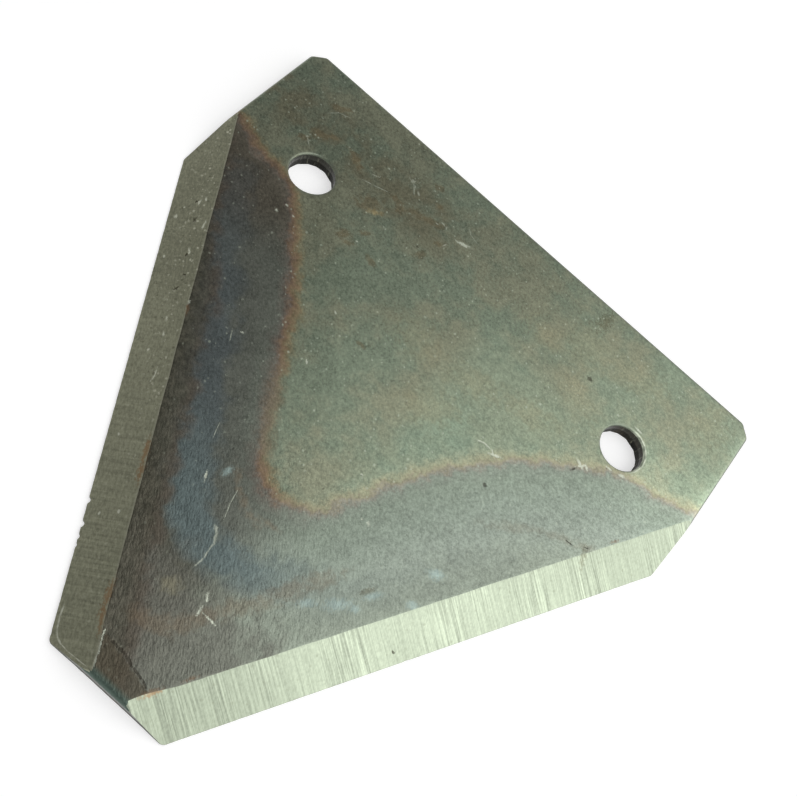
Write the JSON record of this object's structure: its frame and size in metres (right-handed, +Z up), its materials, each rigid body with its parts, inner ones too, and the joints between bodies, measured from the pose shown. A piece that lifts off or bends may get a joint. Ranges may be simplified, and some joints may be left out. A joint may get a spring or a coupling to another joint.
{
  "type": "mower sickle section",
  "caption": "Triangular riveted blade for a sickle mower knife, with a smooth bevel on both cutting edges and a clipped tip.",
  "frame": {"origin": "on the underside, midway between the two rivet holes", "axes": "+X along the back edge, +Y towards the back edge so that the clipped tip points to -Y, +Z up through the plate to the ground face"},
  "size_m": [0.076, 0.0762, 0.0022],
  "materials": {
    "blade_steel": "blued mill scale on the flat, bright ground bevels"
  },
  "bodies": {
    "root": {"sickle_section": "blade_steel"}
  },
  "joints": []
}
